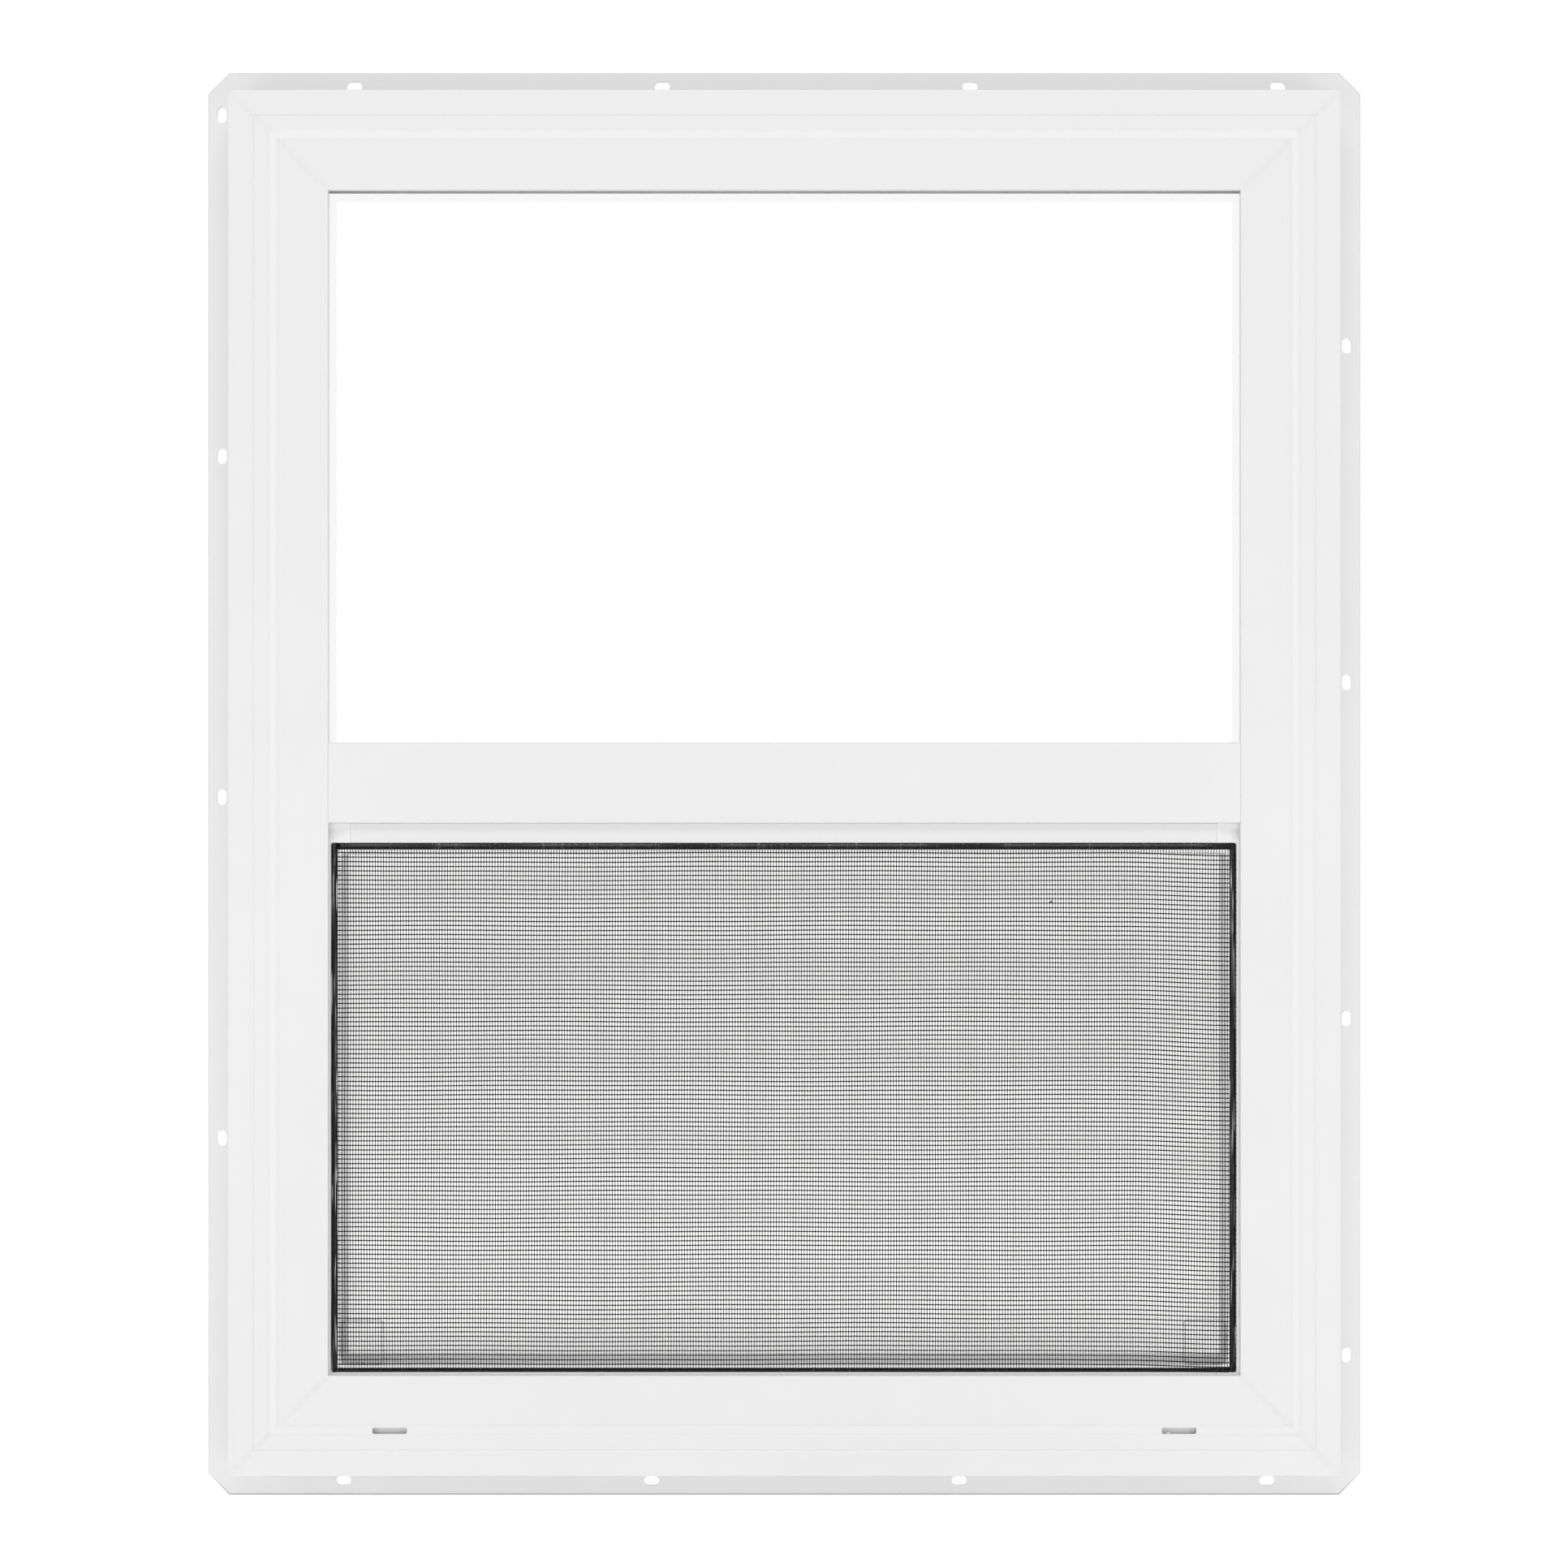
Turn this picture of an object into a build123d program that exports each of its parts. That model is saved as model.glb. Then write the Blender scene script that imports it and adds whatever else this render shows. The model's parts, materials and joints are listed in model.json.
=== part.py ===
from build123d import *
import os

os.makedirs("parts", exist_ok=True)

# A vinyl single hung window for a 24 by 30 inch opening, in millimetres.
# X runs to the right as seen from outdoors, Y from outdoors to indoors, Z up.
# The origin is in the middle of the sill's nailing fin, on the face that lies on the wall.
# Profiles are drawn with u from the outer side towards the glass, and v from outdoors to indoors.

# Outer frame
frame_w = 610.0
frame_h = 760.0
frame_d = 82.5
wall = 2.0
fin_w = 16.0
fin_t = 1.8
fin_v = 28.0  # back of the fin, behind the exterior face
fin_clip = 12.0  # 45 degree corner cut

# Exterior face of the frame: fine groove, sloped step with a soft break and a shallow quirk, inner flat, lip
groove_u = 13.9
groove_w = 1.4
groove_depth = 0.55
step_u = 21.5
step_w = 4.8
step_v = 1.2
break_w = 0.9
break_depth = 0.55
quirk_w = 1.8
quirk_depth = 0.5
lip_u = 54.8
edge_r = 0.8
fin_r = 0.5
weld_w = 2.2  # scraped groove along the welded mitres
weld_depth = 0.1

# Inner side of the frame: glazing pocket, parting leg, sash track and interior stop
glass_v = 4.2  # where the lip's return leg meets the upper glass
pocket_u = 39.0
parting_v = 35.0
parting_u = 49.5
track_u = 18.0
stop_v = 72.0
stop_u = 28.0
drain_v = 5.2  # middle of the web behind the narrow drain chamber
web_v = 22.0  # middle of the web that divides the chamber behind it
balance_slot = 12.0

# Nail slots of the fin: first centre from the frame's middle, and pitch, along X or Z
nail_slot_l = 8.6
nail_slot_w = 5.4
nail_line = 7.6  # from the fin's outer edge
nail_slots = {
    "head": (-239.5, 171.5),
    "sill": (-245.5, 171.5),
    "left": (-197.5, 190.0),
    "right": (-318.5, 187.5),
}
nail_slot_count = 4

# Weep slots through the sill's step
weep_l = 19.0
weep_w = 3.4
weep_r = 1.1
weep_u = 24.5
weep_x = 216.5

# Meeting rail, fixed between the jambs
rail_h = 44.0
rail_pocket = 13.0  # depth of its glazing pocket
rail_ledge = 22.0  # keeper ledge, below the rail's top

# Insulating glass and its beads
pane_t = 3.0
gap_t = 10.0
glass_clear = 2.5  # from the pocket's base to the glass edge
spacer_inset = 1.5
spacer_w = 5.5
bead_h = 10.5
bead_t = 6.2
bead_nose = 3.0
bead_r = 0.8

# Lower sash
sash_d = 30.0
sash_face = 39.5
sash_box = 27.0  # its hollow box, outside the glazing pocket
sash_v = 39.7
sash_clear = 2.0
sash_glass = 6.0  # depth of the outer pane behind the sash's exterior face
sash_bead_h = 9.5
sash_bead_t = sash_d - sash_glass - 2 * pane_t - gap_t
lift_l = 420.0
lift_u = 24.0
lift_d = 10.0
lift_t = 2.4
lift_hook = 4.5
lift_r = 0.9
seal_w = 6.0

# Sash lock on the top rail with its cam turned into the arch of the keeper, which is on the meeting rail
lock_l = 64.0
lock_w = 20.0
lock_h = 7.0
lock_edge = 1.6  # bevel round its top
lock_setback = 0.8  # behind the sash's exterior face
lever_l = 38.0  # from the pivot to the end
lever_end_r = 3.2
lever_t = 4.5
lever_edge = 1.1
boss_r = 7.5
cam_w = 15.0
cam_t = 2.4
cam_rise = 2.3
keeper_l = 46.0
keeper_h = 7.0
keeper_arch = 26.0
keeper_foot = 2.0
keeper_r = 0.8
keeper_play = 0.3

# Half screen, set a little to the left in its track
screen_w = 519.4
screen_x = -0.4
screen_v = 4.5
screen_t = 8.0
screen_gap = 0.2  # below the meeting rail
screen_bottom = 45.2  # above the frame's outer bottom face
bar_u = 10.6  # bar face up to the spline groove
spline_w = {"head": 4.0, "sill": 2.6, "left": 4.0, "right": 4.0}
spline_depth = 5.0
spline_play = 0.1
spline_sunk = 0.3
flange_w = 1.5
flange_sunk = 0.8
bar_wall = 0.9
bar_r = 0.5
key_l = 21.3
key_gap = 0.25  # between a corner key and the end of a bar
key_r = 2.0
key_pocket_u = (6.0, 19.2)
key_pocket_w = (3.1, 9.2)
key_pocket_depth = 1.2
key_pocket_r = 0.7
mesh_t = 0.6
tab_w = 23.8
tab_h = 25.0
tab_t = 0.6
tab_r = 3.2
tab_rim_w = 1.5
tab_rim_t = 1.4

# Heights that follow from these
frame_low = fin_w / 2
frame_high = frame_low + frame_h
middle = frame_low + frame_h / 2
half_w = frame_w / 2
rail_low = middle - rail_h / 2
rail_high = middle + rail_h / 2
rail_seat = rail_high - rail_pocket
pocket_half_w = half_w - pocket_u
glass_back = glass_v + 2 * pane_t + gap_t
track_front = parting_v + wall
sash_half_w = half_w - track_u - sash_clear
sash_low = frame_low + track_u + sash_clear
sash_high = rail_high - rail_ledge


def outside(v):
    # A plane that faces outdoors, v behind the exterior face
    return Plane.XZ.offset(fin_v - v)


def ring(half_width, low, high, front, shift=0):
    # The four sides of a rectangle: each plane has u inwards, v indoors, and its normal along the side
    y = front - fin_v
    centre = (low + high) / 2
    half_height = (high - low) / 2
    return {
        "head": (Plane((shift, y, high), x_dir=(0, 0, -1), z_dir=(1, 0, 0)), half_width),
        "sill": (Plane((shift, y, low), x_dir=(0, 0, 1), z_dir=(-1, 0, 0)), half_width),
        "left": (Plane((shift - half_width, y, centre), x_dir=(1, 0, 0), z_dir=(0, 0, 1)), half_height),
        "right": (Plane((shift + half_width, y, centre), x_dir=(-1, 0, 0), z_dir=(0, 0, -1)), half_height),
    }


def mitre(plane, half_length):
    # Cuts both ends of a side at 45 degrees, through the rectangle's corners
    for end in (1, -1):
        along = plane.z_dir * end
        split(
            bisect_by=Plane(plane.origin + along * half_length, z_dir=plane.x_dir + along),
            keep=Keep.BOTTOM,
        )


def soften(sketch, points, radius):
    # Rounds the corners of a profile that lie at these points
    corners = [v for v in sketch.vertices() if (round(v.X, 3), round(v.Y, 3)) in points]
    fillet(corners, radius)


def write(part, name):
    part.label = name
    export_step(part, f"parts/{name}.step")


# Frame members: hollow vinyl extrusions, mitred and welded, with the nailing fin
frame_outline = [
    (0, 0),
    (groove_u - groove_w / 2, 0),
    (groove_u, groove_depth),
    (groove_u + groove_w / 2, 0),
    (step_u, 0),
    (step_u + break_w, break_depth),
    (step_u + step_w, step_v),
    (step_u + step_w + quirk_w / 2, step_v + quirk_depth),
    (step_u + step_w + quirk_w, step_v),
    (lip_u, step_v),
    (lip_u, glass_v),
    (lip_u - wall, glass_v),
    (lip_u - wall, step_v + wall),
    (pocket_u, step_v + wall),
    (pocket_u, parting_v),
    (parting_u, parting_v),
    (parting_u, track_front),
    (track_u, track_front),
    (track_u, stop_v),
    (stop_u, stop_v),
    (stop_u, frame_d),
    (0, frame_d),
    (0, fin_v),
    (-fin_w, fin_v),
    (-fin_w, fin_v - fin_t),
    (0, fin_v - fin_t),
]
front_chamber = [
    (wall, wall),
    (step_u, wall),
    (step_u + step_w, step_v + wall),
    (pocket_u - wall, step_v + wall),
    (pocket_u - wall, drain_v - wall / 2),
    (wall, drain_v - wall / 2),
]
frame_ring = ring(half_w, frame_low, frame_high, 0)


def chamber(u0, u1, v0, v1):
    # A rectangular hollow in a profile
    with Locations(((u0 + u1) / 2, (v0 + v1) / 2)):
        Rectangle(u1 - u0, v1 - v0, mode=Mode.SUBTRACT)


def weld_groove(plane, to_end, inwards):
    # A shallow V along the mitre, on the outer band and on the inner flat
    for u0, u1, v in ((0, step_u, 0), (step_u + step_w + quirk_w, lip_u, step_v)):
        start = plane.origin + to_end + inwards * u0 + plane.y_dir * v
        with BuildSketch(Plane(start, x_dir=plane.y_dir.cross(inwards), z_dir=inwards)) as vee:
            with BuildLine():
                Polyline((-weld_w, -weld_depth), (weld_w, -weld_depth), (0, weld_depth), close=True)
            make_face()
        extrude(vee.sketch, amount=(u1 - u0) * inwards.length, mode=Mode.SUBTRACT)


for side, (plane, half_length) in frame_ring.items():
    upright = side in ("left", "right")
    with BuildPart() as member:
        with BuildSketch(plane) as profile:
            with BuildLine():
                Polyline(*frame_outline, close=True)
            make_face()
            with BuildLine():
                Polyline(*front_chamber, close=True)
            make_face(mode=Mode.SUBTRACT)
            chamber(wall, pocket_u - wall, drain_v + wall / 2, web_v - wall / 2)
            chamber(wall, pocket_u - wall, web_v + wall / 2, parting_v)
            chamber(wall, track_u - wall, track_front + wall, stop_v)
            chamber(wall, stop_u - wall, stop_v + wall, frame_d - wall)
            if upright:
                slot_v = (track_front + stop_v) / 2
                chamber(track_u - wall, track_u, slot_v - balance_slot / 2, slot_v + balance_slot / 2)
            soften(profile, [(0, 0), (lip_u, step_v), (stop_u, frame_d), (0, frame_d)], edge_r)
            soften(profile, [(-fin_w, fin_v - fin_t)], fin_r)
        extrude(amount=half_length + fin_w, both=True)
        mitre(plane, half_length)
        for end in (1, -1):
            along = plane.z_dir * end
            corner = plane.origin + along * (half_length + fin_w - fin_clip) - plane.x_dir * fin_w
            split(bisect_by=Plane(corner, z_dir=along - plane.x_dir), keep=Keep.BOTTOM)
            weld_groove(plane, along * half_length, plane.x_dir - along)
        first, pitch = nail_slots[side]
        nail_row = plane.origin - plane.x_dir * (fin_w - nail_line)
        run = (0, 0, 1) if upright else (1, 0, 0)
        with BuildSketch(Plane((nail_row.X, 0, nail_row.Z), x_dir=run, z_dir=(0, -1, 0))):
            with Locations(*[(first + pitch * i, 0) for i in range(nail_slot_count)]):
                SlotOverall(nail_slot_l, nail_slot_w)
        extrude(amount=2 * fin_t, both=True, mode=Mode.SUBTRACT)
        if side == "sill":
            with BuildSketch(outside(0)):
                with Locations((-weep_x, frame_low + weep_u), (weep_x, frame_low + weep_u)):
                    RectangleRounded(weep_l, weep_w, weep_r)
            extrude(amount=wall / 2 - drain_v, mode=Mode.SUBTRACT)
    write(member.part, f"frame_jamb_{side}" if upright else f"frame_{side}")

# Meeting rail: a hollow box between the jambs, with a glazing pocket on top and a keeper ledge indoors
rail_outline = [
    (step_v, rail_low),
    (step_v, rail_high),
    (glass_v, rail_high),
    (glass_v, rail_high - wall),
    (step_v + wall, rail_high - wall),
    (step_v + wall, rail_seat),
    (glass_back + bead_t, rail_seat),
    (glass_back + bead_t, sash_high),
    (track_front, sash_high),
    (track_front, rail_low),
]
with BuildPart() as meeting_rail:
    with BuildSketch(Plane((0, -fin_v, 0), x_dir=(0, 1, 0), z_dir=(1, 0, 0))) as profile:
        with BuildLine():
            Polyline(*rail_outline, close=True)
        make_face()
        chamber(step_v + wall, glass_back + bead_t - wall, rail_low + wall, rail_seat - wall)
        chamber(glass_back + bead_t, track_front - wall, rail_low + wall, sash_high - wall)
        soften(profile, [(step_v, rail_low), (step_v, rail_high)], edge_r)
    extrude(amount=pocket_half_w, both=True)
    # Its ends are notched round the jambs' lips in front and their parting legs behind
    for front, back, reach in ((step_v, glass_v, lip_u), (parting_v, track_front, parting_u)):
        notch_x = half_w - (reach + pocket_u) / 2
        with BuildSketch(outside(front)):
            with Locations((-notch_x, middle), (notch_x, middle)):
                Rectangle(reach - pocket_u, rail_h)
        extrude(amount=front - back, mode=Mode.SUBTRACT)
write(meeting_rail.part, "meeting_rail")


# Insulating glass: two panes and a spacer ring
def pane(name, half_width, low, high, front):
    with BuildPart() as sheet:
        with BuildSketch(outside(front)):
            with Locations((0, (low + high) / 2)):
                Rectangle(2 * half_width, high - low)
        extrude(amount=-pane_t)
    write(sheet.part, name)


def insulating_glass(name, half_width, low, high, front):
    pane(f"{name}_outer", half_width, low, high, front)
    with BuildPart() as spacer:
        with BuildSketch(outside(front + pane_t)):
            with Locations((0, (low + high) / 2)):
                Rectangle(2 * (half_width - spacer_inset), high - low - 2 * spacer_inset)
                inner = spacer_inset + spacer_w
                Rectangle(2 * (half_width - inner), high - low - 2 * inner, mode=Mode.SUBTRACT)
        extrude(amount=-gap_t)
    write(spacer.part, f"{name}_spacer")
    pane(f"{name}_inner", half_width, low, high, front + pane_t + gap_t)


# Glazing beads: wedge strips that press the glass against the lip, mitred at the corners
def glazing_beads(name, pocket, height, depth):
    for side, (plane, half_length) in pocket.items():
        with BuildPart() as bead:
            with BuildSketch(plane) as profile:
                with BuildLine():
                    Polyline(
                        (0, 0),
                        (height, 0),
                        (height, bead_nose),
                        (bead_nose, depth),
                        (0, depth),
                        close=True,
                    )
                make_face()
                soften(profile, [(height, bead_nose), (bead_nose, depth)], bead_r)
            extrude(amount=half_length, both=True)
            mitre(plane, half_length)
        write(bead.part, f"{name}_{side}")


upper_high = frame_high - pocket_u
insulating_glass(
    "upper_glass",
    pocket_half_w - glass_clear,
    rail_seat + glass_clear,
    upper_high - glass_clear,
    glass_v,
)
glazing_beads("upper_bead", ring(pocket_half_w, rail_seat, upper_high, glass_back), bead_h, bead_t)

# Lower sash: four mitred hollow members round its own insulating glass
sash_outline = [
    (0, 0),
    (sash_face, 0),
    (sash_face, sash_glass),
    (sash_face - wall, sash_glass),
    (sash_face - wall, wall),
    (sash_box, wall),
    (sash_box, sash_d),
    (0, sash_d),
]
sash_ring = ring(sash_half_w, sash_low, sash_high, sash_v)
sash_names = {"head": "top_rail", "sill": "bottom_rail", "left": "stile_left", "right": "stile_right"}
for side, (plane, half_length) in sash_ring.items():
    with BuildPart() as member:
        with BuildSketch(plane) as profile:
            with BuildLine():
                Polyline(*sash_outline, close=True)
            make_face()
            chamber(wall, sash_box - wall, wall, (sash_d - wall) / 2)
            chamber(wall, sash_box - wall, (sash_d + wall) / 2, sash_d - wall)
            soften(profile, [(0, 0), (sash_face, 0), (0, sash_d)], edge_r)
        extrude(amount=half_length, both=True)
        mitre(plane, half_length)
    write(member.part, f"sash_{sash_names[side]}")

sash_pocket_half_w = sash_half_w - sash_box
sash_pocket_low = sash_low + sash_box
sash_pocket_high = sash_high - sash_box
insulating_glass(
    "sash_glass",
    sash_pocket_half_w - glass_clear,
    sash_pocket_low + glass_clear,
    sash_pocket_high - glass_clear,
    sash_v + sash_glass,
)
sash_bead_v = sash_v + sash_d - sash_bead_t
sash_pocket = ring(sash_pocket_half_w, sash_pocket_low, sash_pocket_high, sash_bead_v)
glazing_beads("sash_bead", sash_pocket, sash_bead_h, sash_bead_t)

# Lift: a hooked finger rail along the bottom rail, indoors
lift_plane, _ = ring(sash_half_w, sash_low, sash_high, sash_v + sash_d)["sill"]
with BuildPart() as sash_lift:
    with BuildSketch(lift_plane) as profile:
        hook_u = lift_u + lift_t + lift_hook
        with BuildLine():
            Polyline(
                (lift_u, 0),
                (lift_u, lift_d),
                (hook_u, lift_d),
                (hook_u, lift_d - lift_t),
                (lift_u + lift_t, lift_d - lift_t),
                (lift_u + lift_t, 0),
                close=True,
            )
        make_face()
        soften(profile, [(lift_u, lift_d), (hook_u, lift_d), (hook_u, lift_d - lift_t)], lift_r)
    extrude(amount=lift_l / 2, both=True)
write(sash_lift.part, "sash_lift")

# Weather seals: pile strips between the sash and the parting legs and meeting rail, a bulb under the sash
seal_gap = sash_v - track_front
pile_x = half_w - parting_u + seal_w / 2
pile_h = sash_high - sash_low - 3 * seal_w
with BuildPart() as pile_seal:
    with BuildSketch(outside(track_front)):
        with Locations((-pile_x, sash_low + seal_w + pile_h / 2), (pile_x, sash_low + seal_w + pile_h / 2)):
            Rectangle(seal_w, pile_h)
        with Locations((0, sash_high - seal_w)):
            Rectangle(2 * (pile_x - seal_w), seal_w)
    extrude(amount=-seal_gap)
write(pile_seal.part, "weatherstrip_pile")

with BuildPart() as bulb_seal:
    with BuildSketch(outside(sash_v + wall)):
        with Locations((0, sash_low - sash_clear / 2)):
            Rectangle(2 * sash_half_w, sash_clear)
    extrude(amount=-seal_w)
write(bulb_seal.part, "weatherstrip_sill")

# Sash lock: base on the top rail, lever and cam that turn together, keeper on the meeting rail's ledge
lock_front = sash_v + lock_setback
lock_y = lock_front + lock_w / 2 - fin_v
with BuildPart() as lock_base:
    with BuildSketch(Plane((0, lock_y, sash_high), x_dir=(1, 0, 0), z_dir=(0, 0, 1))):
        SlotOverall(lock_l, lock_w)
    extrude(amount=lock_h)
    chamfer(lock_base.faces().sort_by(Axis.Z)[-1].edges(), lock_edge)
write(lock_base.part, "sash_lock_base")

keeper_w = track_front - glass_back - bead_t
cam_reach = lock_front - track_front + keeper_w / 2
with BuildPart() as lock_lever:
    with BuildSketch(Plane((0, lock_y, sash_high + lock_h), x_dir=(1, 0, 0), z_dir=(0, 0, 1))):
        Circle(boss_r)
        with Locations((lever_l - lever_end_r, 0)):
            Circle(lever_end_r)
        make_hull()
    extrude(amount=lever_t)
    chamfer(lock_lever.faces().sort_by(Axis.Z)[-1].edges(), lever_edge)
    with BuildSketch(outside(lock_front)):
        with Locations((0, sash_high + cam_rise + cam_t / 2)):
            Rectangle(cam_w, cam_t)
    extrude(amount=cam_reach)
write(lock_lever.part, "sash_lock_lever")

with BuildPart() as lock_keeper:
    with BuildSketch(outside(track_front)):
        with Locations((0, sash_high + keeper_foot / 2)):
            Rectangle(keeper_l, keeper_foot)
        with Locations((0, sash_high + keeper_h / 2)):
            Rectangle(keeper_arch, keeper_h)
    extrude(amount=keeper_w)
    fillet(lock_keeper.edges().filter_by(Axis.Y).group_by(Axis.Z)[-1], 2 * keeper_r)
    fillet(lock_keeper.edges().filter_by(Axis.Z).group_by(Axis.X)[0], keeper_r)
    fillet(lock_keeper.edges().filter_by(Axis.Z).group_by(Axis.X)[-1], keeper_r)
    with BuildSketch(outside(track_front)):
        with Locations((0, sash_high + cam_rise + cam_t / 2)):
            Rectangle(cam_w + 4 * keeper_play, cam_t + 2 * keeper_play)
    extrude(amount=keeper_w - keeper_foot, mode=Mode.SUBTRACT)
write(lock_keeper.part, "sash_lock_keeper")

# Half screen: four roll-formed bars between corner keys, spline, woven mesh and two pull tabs
screen_half_w = screen_w / 2
screen_low = frame_low + screen_bottom
screen_high = rail_low - screen_gap
screen_ring = ring(screen_half_w, screen_low, screen_high, screen_v, screen_x)
bar_names = {"head": "top", "sill": "bottom", "left": "left", "right": "right"}
groove_end = {side: bar_u + width for side, width in spline_w.items()}
bar_end = {side: end + flange_w for side, end in groove_end.items()}
for side, (plane, half_length) in screen_ring.items():
    bar_outline = [
        (0, 0),
        (bar_u, 0),
        (bar_u, spline_depth),
        (groove_end[side], spline_depth),
        (groove_end[side], flange_sunk),
        (bar_end[side], flange_sunk),
        (bar_end[side], screen_t),
        (0, screen_t),
    ]
    rounded = [(0, 0), (bar_u, 0), (bar_end[side], flange_sunk), (bar_end[side], screen_t), (0, screen_t)]
    with BuildPart() as bar:
        with BuildSketch(plane) as profile:
            with BuildLine():
                Polyline(*bar_outline, close=True)
            make_face()
            chamber(bar_wall, bar_u - bar_wall, bar_wall, screen_t - bar_wall)
            soften(profile, rounded, bar_r)
        extrude(amount=half_length - key_l - key_gap, both=True)
    write(bar.part, f"screen_bar_{bar_names[side]}")

spline_ring = ring(
    screen_half_w - bar_u - spline_play,
    screen_low + bar_u + spline_play,
    screen_high - bar_u - spline_play,
    screen_v + spline_sunk,
    screen_x,
)
for side, (plane, half_length) in spline_ring.items():
    cord_w = spline_w[side] - 2 * spline_play
    cord_d = spline_depth - spline_sunk
    with BuildPart() as cord:
        with BuildSketch(plane) as profile:
            with Locations((cord_w / 2, cord_d / 2)):
                Rectangle(cord_w, cord_d)
            soften(profile, [(0, 0), (cord_w, 0)], cord_w / 3)
        extrude(amount=half_length, both=True)
        mitre(plane, half_length)
    write(cord.part, f"screen_spline_{bar_names[side]}")


def corner_key(name, side_x, side_z):
    # An L of the bars' section, drawn from the screen's corner, with a shallow pocket in its face
    corner_x = screen_x + side_x * screen_half_w
    corner_z = screen_high if side_z > 0 else screen_low
    upright = "right" if side_x > 0 else "left"
    level = "head" if side_z > 0 else "sill"

    def at(u, w):
        return (corner_x - side_x * u, corner_z - side_z * w)

    def ell(inner_u, inner_w, outer_u, outer_w):
        # A right-angled band between two distances from the screen's outer edges
        Polyline(
            at(inner_u, inner_w),
            at(key_l, inner_w),
            at(key_l, outer_w),
            at(outer_u, outer_w),
            at(outer_u, key_l),
            at(inner_u, key_l),
            close=True,
        )

    groove = (groove_end[upright], groove_end[level])
    end = (bar_end[upright], bar_end[level])
    with BuildPart() as key:
        with BuildSketch(outside(screen_v)):
            with BuildLine():
                ell(0, 0, *end)
            make_face()
        extrude(amount=-screen_t)
        outer_corner = (corner_x, screen_v - fin_v, corner_z)
        fillet(key.edges().filter_by(Axis.Y).sort_by_distance(outer_corner)[0], key_r)
        with BuildSketch(outside(screen_v)):
            with BuildLine():
                ell(bar_u, bar_u, *groove)
            make_face()
        extrude(amount=-spline_depth, mode=Mode.SUBTRACT)
        with BuildSketch(outside(screen_v)):
            with BuildLine():
                ell(*groove, *end)
            make_face()
        extrude(amount=-flange_sunk, mode=Mode.SUBTRACT)
        with BuildSketch(outside(screen_v)):
            with Locations(at(sum(key_pocket_u) / 2, sum(key_pocket_w) / 2)):
                pocket_w = key_pocket_w[1] - key_pocket_w[0]
                RectangleRounded(key_pocket_u[1] - key_pocket_u[0], pocket_w, key_pocket_r)
        extrude(amount=-key_pocket_depth, mode=Mode.SUBTRACT)
    write(key.part, name)


for level, side_z in (("top", 1), ("bottom", -1)):
    for side, side_x in (("left", -1), ("right", 1)):
        corner_key(f"screen_corner_{level}_{side}", side_x, side_z)

mesh_w = screen_w - groove_end["left"] - groove_end["right"]
mesh_low = screen_low + groove_end["sill"]
mesh_high = screen_high - groove_end["head"]
with BuildPart() as screen_mesh:
    with BuildSketch(outside(screen_v + flange_sunk - mesh_t)):
        with Locations((screen_x, (mesh_low + mesh_high) / 2)):
            Rectangle(mesh_w, mesh_high - mesh_low)
    extrude(amount=-mesh_t)
write(screen_mesh.part, "screen_mesh")

for side, side_x in (("left", -1), ("right", 1)):
    tab_x = screen_x + side_x * (screen_half_w - bar_end[side] - tab_w / 2)
    tab_middle = (tab_x, screen_low + bar_end["sill"] + tab_h / 2)
    with BuildPart() as tab:
        with BuildSketch(outside(screen_v + flange_sunk)):
            with Locations(tab_middle):
                RectangleRounded(tab_w, tab_h, tab_r)
        extrude(amount=-tab_t)
        with BuildSketch(outside(screen_v + flange_sunk)):
            with Locations(tab_middle):
                RectangleRounded(tab_w, tab_h, tab_r)
                film_w = tab_w - 2 * tab_rim_w
                film_h = tab_h - 2 * tab_rim_w
                RectangleRounded(film_w, film_h, tab_r - tab_rim_w, mode=Mode.SUBTRACT)
        extrude(amount=-tab_rim_t)
    write(tab.part, f"screen_pull_tab_{side}")
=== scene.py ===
import json

import bpy
import numpy as np
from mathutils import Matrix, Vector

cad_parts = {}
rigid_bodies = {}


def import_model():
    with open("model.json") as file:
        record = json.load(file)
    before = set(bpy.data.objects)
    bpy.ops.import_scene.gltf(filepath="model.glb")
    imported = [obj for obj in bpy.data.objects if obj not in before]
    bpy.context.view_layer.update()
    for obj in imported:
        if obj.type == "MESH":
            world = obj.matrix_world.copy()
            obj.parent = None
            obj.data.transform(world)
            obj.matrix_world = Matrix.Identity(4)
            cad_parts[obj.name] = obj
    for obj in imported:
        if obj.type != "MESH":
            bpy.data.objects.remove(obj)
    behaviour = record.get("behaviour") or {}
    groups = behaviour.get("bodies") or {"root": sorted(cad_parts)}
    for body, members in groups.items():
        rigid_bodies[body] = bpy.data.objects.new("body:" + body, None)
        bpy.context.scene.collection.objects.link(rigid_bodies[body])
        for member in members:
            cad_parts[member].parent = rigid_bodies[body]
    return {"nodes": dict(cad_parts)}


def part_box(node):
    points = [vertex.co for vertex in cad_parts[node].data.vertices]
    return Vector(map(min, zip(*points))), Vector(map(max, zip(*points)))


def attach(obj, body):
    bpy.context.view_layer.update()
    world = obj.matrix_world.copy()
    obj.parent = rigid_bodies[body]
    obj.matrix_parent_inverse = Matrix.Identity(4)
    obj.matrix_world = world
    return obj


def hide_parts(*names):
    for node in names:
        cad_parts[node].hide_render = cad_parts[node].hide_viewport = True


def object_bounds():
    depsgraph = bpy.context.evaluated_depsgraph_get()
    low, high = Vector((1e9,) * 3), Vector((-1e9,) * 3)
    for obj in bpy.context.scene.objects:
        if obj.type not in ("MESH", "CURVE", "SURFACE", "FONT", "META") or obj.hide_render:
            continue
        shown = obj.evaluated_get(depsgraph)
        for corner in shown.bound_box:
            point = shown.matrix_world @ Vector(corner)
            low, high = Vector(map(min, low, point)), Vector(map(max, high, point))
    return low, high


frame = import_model()
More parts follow.
